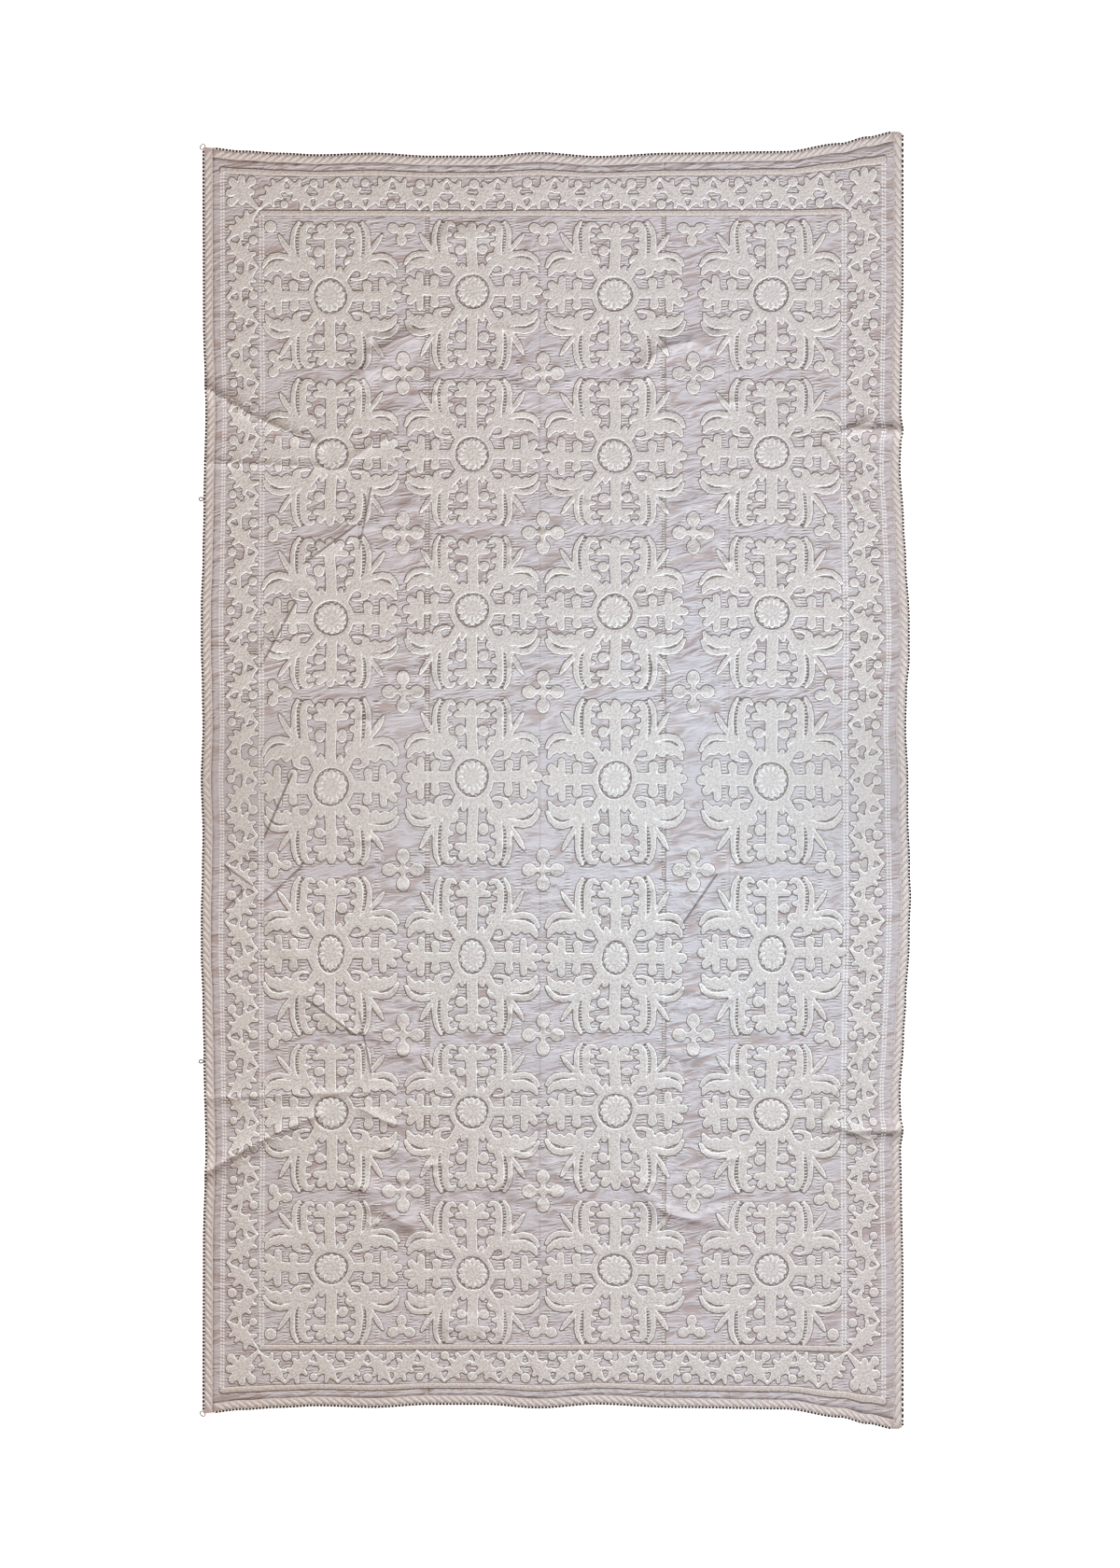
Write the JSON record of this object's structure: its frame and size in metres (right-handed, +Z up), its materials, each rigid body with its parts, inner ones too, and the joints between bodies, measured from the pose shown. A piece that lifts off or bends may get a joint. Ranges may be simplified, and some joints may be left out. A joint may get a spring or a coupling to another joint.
{
  "type": "suzani",
  "caption": "Long suzani cloth of sewn silk strips with raised tone-on-tone embroidery, an edging braid and small thread loops, lying flat on a surface with shallow folds.",
  "frame": {"origin": "on the surface the cloth lies on, under the middle of its outline", "axes": "+Z up out of the cloth's face, +Y along its length to the top edge, +X to its right edge"},
  "size_m": [1.3176, 2.4, 0.0164],
  "materials": {
    "silk_ground": "lavender-grey silk with a soft sheen",
    "edging_braid": "matt twisted thread, sandy grey",
    "loop_thread": "matt twisted thread, ivory",
    "embroidery_floss": "dense ivory floss stitches with a low sheen"
  },
  "bodies": {
    "root": {"panel_left": "silk_ground", "panel_middle": "silk_ground", "panel_right": "silk_ground", "braid_left": "edging_braid", "braid_right": "edging_braid", "braid_top": "edging_braid", "braid_bottom": "edging_braid", "edge_loop_upper": "loop_thread", "edge_loop_lower": "loop_thread", "corner_loop_top": "loop_thread", "corner_loop_bottom": "loop_thread"}
  },
  "joints": []
}
